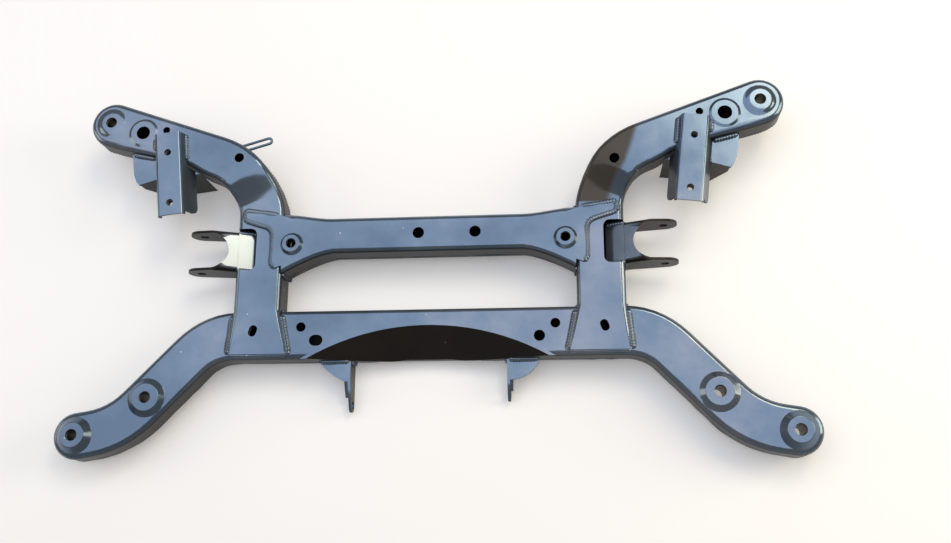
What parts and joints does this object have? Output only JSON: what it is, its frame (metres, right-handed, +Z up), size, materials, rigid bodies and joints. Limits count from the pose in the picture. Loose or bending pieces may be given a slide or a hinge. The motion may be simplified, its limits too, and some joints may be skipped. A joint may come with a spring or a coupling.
{
  "type": "subframe",
  "caption": "Car suspension subframe welded from pressed steel shells: a swept rear beam, a front beam and side rails that bend out to the body mounts, with link and stabiliser brackets.",
  "frame": {"origin": "under the middle of the part's box, on the floor it rests on", "axes": "+X to the right across the car, +Y from the rear beam to the front mounts, +Z up"},
  "size_m": [1.0978, 0.543, 0.109],
  "materials": {
    "gloss_black_paint": "gloss",
    "zinc_plated_steel": "satin"
  },
  "bodies": {
    "root": {"rear_beam_upper": "gloss_black_paint", "rear_beam_lower": "gloss_black_paint", "front_beam_upper": "gloss_black_paint", "front_beam_lower": "gloss_black_paint", "left_side_rail_upper": "gloss_black_paint", "left_side_rail_lower": "gloss_black_paint", "right_side_rail_upper": "gloss_black_paint", "right_side_rail_lower": "gloss_black_paint", "left_link_clevis": "gloss_black_paint", "right_link_clevis": "gloss_black_paint", "left_stabiliser_channel": "gloss_black_paint", "right_stabiliser_channel": "gloss_black_paint", "left_stabiliser_support": "gloss_black_paint", "right_stabiliser_support": "gloss_black_paint", "left_drive_ear": "gloss_black_paint", "right_drive_ear": "gloss_black_paint", "left_rear_mount_sleeve": "zinc_plated_steel", "right_rear_mount_sleeve": "zinc_plated_steel", "left_locating_sleeve": "zinc_plated_steel", "right_locating_sleeve": "zinc_plated_steel", "left_front_mount_sleeve": "zinc_plated_steel", "right_front_mount_sleeve": "zinc_plated_steel", "left_front_beam_collar": "zinc_plated_steel", "right_front_beam_collar": "zinc_plated_steel", "left_stabiliser_nuts": "zinc_plated_steel", "right_stabiliser_nuts": "zinc_plated_steel", "brake_line_clip": "gloss_black_paint"}
  },
  "joints": []
}
